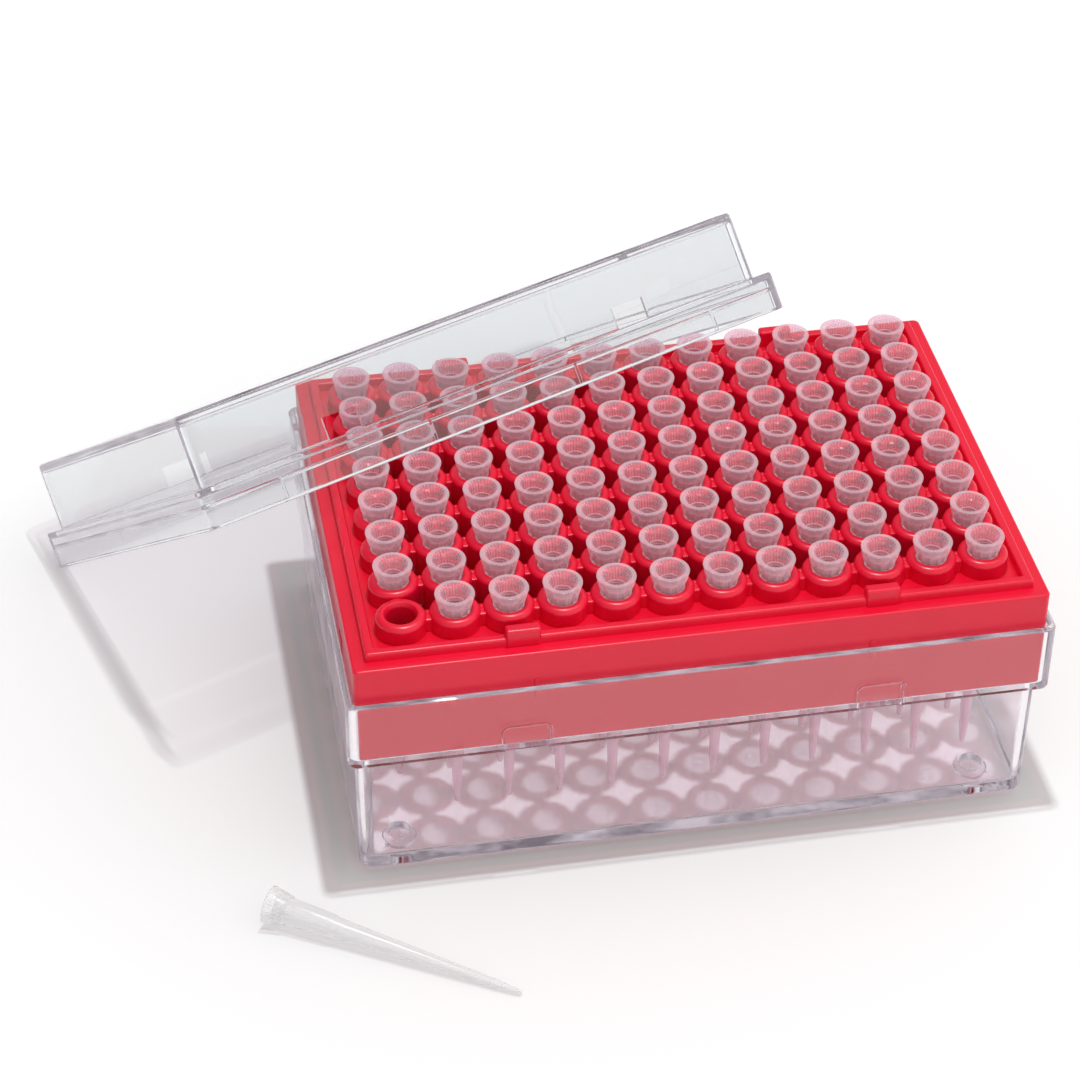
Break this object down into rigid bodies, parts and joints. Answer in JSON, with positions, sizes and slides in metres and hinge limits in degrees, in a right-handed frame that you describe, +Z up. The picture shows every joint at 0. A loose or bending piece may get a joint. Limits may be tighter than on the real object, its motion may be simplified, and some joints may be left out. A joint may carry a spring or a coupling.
{
  "type": "box of pipette tips",
  "caption": "Clear plastic box holding a rack of hanging pipette tips, with one well empty, its tip lying in front and the stepped clear lid leaning on the box.",
  "frame": {"origin": "centre of the base's footprint, on the surface that its four feet stand on; the flat underside mount lies 1.2 mm above it", "axes": "+Z up, along the wells; +X along the box's long side; +Y to the back, where the lid leans"},
  "size_m": [0.1668, 0.1818, 0.0677],
  "materials": {
    "clear_polystyrene": "clear, polished",
    "red_polypropylene": "satin, moulded",
    "natural_polypropylene": "translucent, unpigmented"
  },
  "bodies": {
    "root": {"base": "clear_polystyrene", "lid": "clear_polystyrene", "rack": "red_polypropylene", "loose_tip": "natural_polypropylene", "tip_column_01": "natural_polypropylene", "tip_column_02": "natural_polypropylene", "tip_column_03": "natural_polypropylene", "tip_column_04": "natural_polypropylene", "tip_column_05": "natural_polypropylene", "tip_column_06": "natural_polypropylene", "tip_column_07": "natural_polypropylene", "tip_column_08": "natural_polypropylene", "tip_column_09": "natural_polypropylene", "tip_column_10": "natural_polypropylene", "tip_column_11": "natural_polypropylene", "tip_column_12": "natural_polypropylene"}
  },
  "joints": []
}
